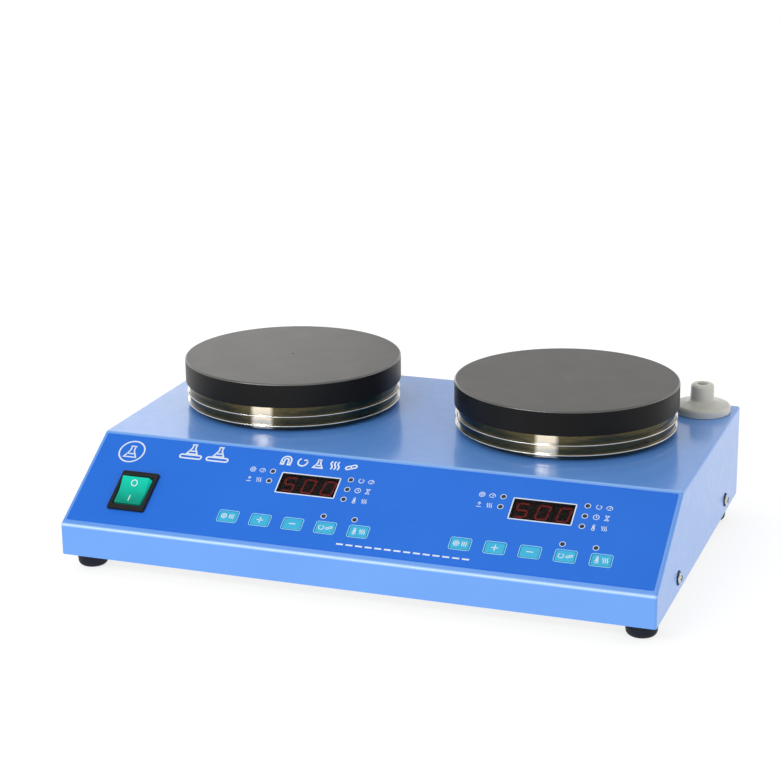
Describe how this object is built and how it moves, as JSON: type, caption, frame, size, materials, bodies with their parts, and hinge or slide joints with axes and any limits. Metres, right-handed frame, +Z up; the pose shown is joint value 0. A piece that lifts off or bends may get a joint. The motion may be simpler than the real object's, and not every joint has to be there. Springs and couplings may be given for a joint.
{
  "type": "magnetic stirrer",
  "caption": "Bench magnetic stirrer with two round black heating plates side by side on a low blue sheet-metal housing with a sloping control panel.",
  "frame": {"origin": "on the floor, under the middle of the whole object", "axes": "+X to the operator's right, +Y to the back, +Z up"},
  "size_m": [0.3846, 0.252, 0.1055],
  "materials": {
    "case_blue": "light blue powder coat, semi-gloss",
    "tray_grey": "light blue powder coat inside and out",
    "film_blue": "printed polyester film, satin",
    "key_cyan": "printed key, satin",
    "window_smoke": "smoked red-black window",
    "module_black": "black display housing",
    "lamp_dark": "dark lamp lens",
    "switch_black": "black moulded",
    "rocker_green": "translucent green moulded",
    "plate_black": "black non-stick coating on aluminium",
    "skirt_steel": "polished stainless steel",
    "screw_steel": "zinc plated",
    "rubber_black": "matt",
    "socket_grey": "grey moulded, glossy",
    "board_green": "circuit board",
    "heater_metal": "cast heater",
    "insulation": "ceramic fibre",
    "motor_metal": "plated",
    "magnet_grey": "ferrite",
    "pin_brass": "nickel-washed brass",
    "core_dark": "laminated core and taped winding",
    "fuse_glass": "glass tube"
  },
  "bodies": {
    "case": {"housing_shell": "case_blue", "base_tray": "tray_grey", "side_screws": "screw_steel", "inner_screws": "screw_steel", "panel_film": "film_blue", "foot_front_left": "rubber_black", "foot_front_right": "rubber_black", "foot_rear_left": "rubber_black", "foot_rear_right": "rubber_black", "left_display_window": "window_smoke", "left_display_module": "module_black", "left_control_board": "board_green", "left_hot_plate": "plate_black", "left_plate_skirt": "skirt_steel", "left_heater_disc": "heater_metal", "left_insulation_disc": "insulation", "left_temperature_sensor": "screw_steel", "left_motor": "motor_metal", "left_motor_bracket": "motor_metal", "right_display_window": "window_smoke", "right_display_module": "module_black", "right_control_board": "board_green", "right_hot_plate": "plate_black", "right_plate_skirt": "skirt_steel", "right_heater_disc": "heater_metal", "right_insulation_disc": "insulation", "right_temperature_sensor": "screw_steel", "right_motor": "motor_metal", "right_motor_bracket": "motor_metal", "tact_switches": "module_black", "indicator_lamps": "lamp_dark", "board_standoffs": "screw_steel", "power_switch_body": "switch_black", "plate_posts": "screw_steel", "power_board": "board_green", "transformer": "core_dark", "mains_inlet": "switch_black", "inlet_pins": "pin_brass", "inlet_screws": "screw_steel", "probe_sockets": "screw_steel", "rod_socket": "socket_grey"},
    "left_key_set": {"left_key_set": "key_cyan"},
    "left_key_plus": {"left_key_plus": "key_cyan"},
    "left_key_minus": {"left_key_minus": "key_cyan"},
    "left_key_stir": {"left_key_stir": "key_cyan"},
    "left_key_heat": {"left_key_heat": "key_cyan"},
    "right_key_set": {"right_key_set": "key_cyan"},
    "right_key_plus": {"right_key_plus": "key_cyan"},
    "right_key_minus": {"right_key_minus": "key_cyan"},
    "right_key_stir": {"right_key_stir": "key_cyan"},
    "right_key_heat": {"right_key_heat": "key_cyan"},
    "left_rotor": {"left_motor_shaft": "screw_steel", "left_magnet_holder": "heater_metal", "left_drive_magnets": "magnet_grey"},
    "right_rotor": {"right_motor_shaft": "screw_steel", "right_magnet_holder": "heater_metal", "right_drive_magnets": "magnet_grey"},
    "power_rocker": {"power_rocker": "rocker_green"},
    "fuse_drawer": {"fuse_drawer": "switch_black", "fuse_cartridge": "fuse_glass"}
  },
  "joints": [
    {"name": "left_key_set_press", "type": "slide", "parent": "case", "child": "left_key_set", "axis": [0, 0.522, -0.853], "range_m": [0, 0.0005], "stiffness_N_per_m": 1500, "springref_m": -0.0003},
    {"name": "left_key_plus_press", "type": "slide", "parent": "case", "child": "left_key_plus", "axis": [0, 0.522, -0.853], "range_m": [0, 0.0005], "stiffness_N_per_m": 1500, "springref_m": -0.0003},
    {"name": "left_key_minus_press", "type": "slide", "parent": "case", "child": "left_key_minus", "axis": [0, 0.522, -0.853], "range_m": [0, 0.0005], "stiffness_N_per_m": 1500, "springref_m": -0.0003},
    {"name": "left_key_stir_press", "type": "slide", "parent": "case", "child": "left_key_stir", "axis": [0, 0.522, -0.853], "range_m": [0, 0.0005], "stiffness_N_per_m": 1500, "springref_m": -0.0003},
    {"name": "left_key_heat_press", "type": "slide", "parent": "case", "child": "left_key_heat", "axis": [0, 0.522, -0.853], "range_m": [0, 0.0005], "stiffness_N_per_m": 1500, "springref_m": -0.0003},
    {"name": "right_key_set_press", "type": "slide", "parent": "case", "child": "right_key_set", "axis": [0, 0.522, -0.853], "range_m": [0, 0.0005], "stiffness_N_per_m": 1500, "springref_m": -0.0003},
    {"name": "right_key_plus_press", "type": "slide", "parent": "case", "child": "right_key_plus", "axis": [0, 0.522, -0.853], "range_m": [0, 0.0005], "stiffness_N_per_m": 1500, "springref_m": -0.0003},
    {"name": "right_key_minus_press", "type": "slide", "parent": "case", "child": "right_key_minus", "axis": [0, 0.522, -0.853], "range_m": [0, 0.0005], "stiffness_N_per_m": 1500, "springref_m": -0.0003},
    {"name": "right_key_stir_press", "type": "slide", "parent": "case", "child": "right_key_stir", "axis": [0, 0.522, -0.853], "range_m": [0, 0.0005], "stiffness_N_per_m": 1500, "springref_m": -0.0003},
    {"name": "right_key_heat_press", "type": "slide", "parent": "case", "child": "right_key_heat", "axis": [0, 0.522, -0.853], "range_m": [0, 0.0005], "stiffness_N_per_m": 1500, "springref_m": -0.0003},
    {"name": "left_rotor_spin", "type": "hinge", "parent": "case", "child": "left_rotor", "pos_m": [-0.0983, 0.0394, 0.06], "axis": [0, 0, 1], "continuous": true},
    {"name": "right_rotor_spin", "type": "hinge", "parent": "case", "child": "right_rotor", "pos_m": [0.0917, 0.0394, 0.06], "axis": [0, 0, 1], "continuous": true},
    {"name": "power_rocker_tip", "type": "hinge", "parent": "case", "child": "power_rocker", "pos_m": [-0.1511, -0.09799, 0.04512], "axis": [1, 0, 0], "range_deg": [-20, 0]},
    {"name": "fuse_drawer_slide", "type": "slide", "parent": "case", "child": "fuse_drawer", "axis": [0, 1, 0], "range_m": [0, 0.018]}
  ]
}
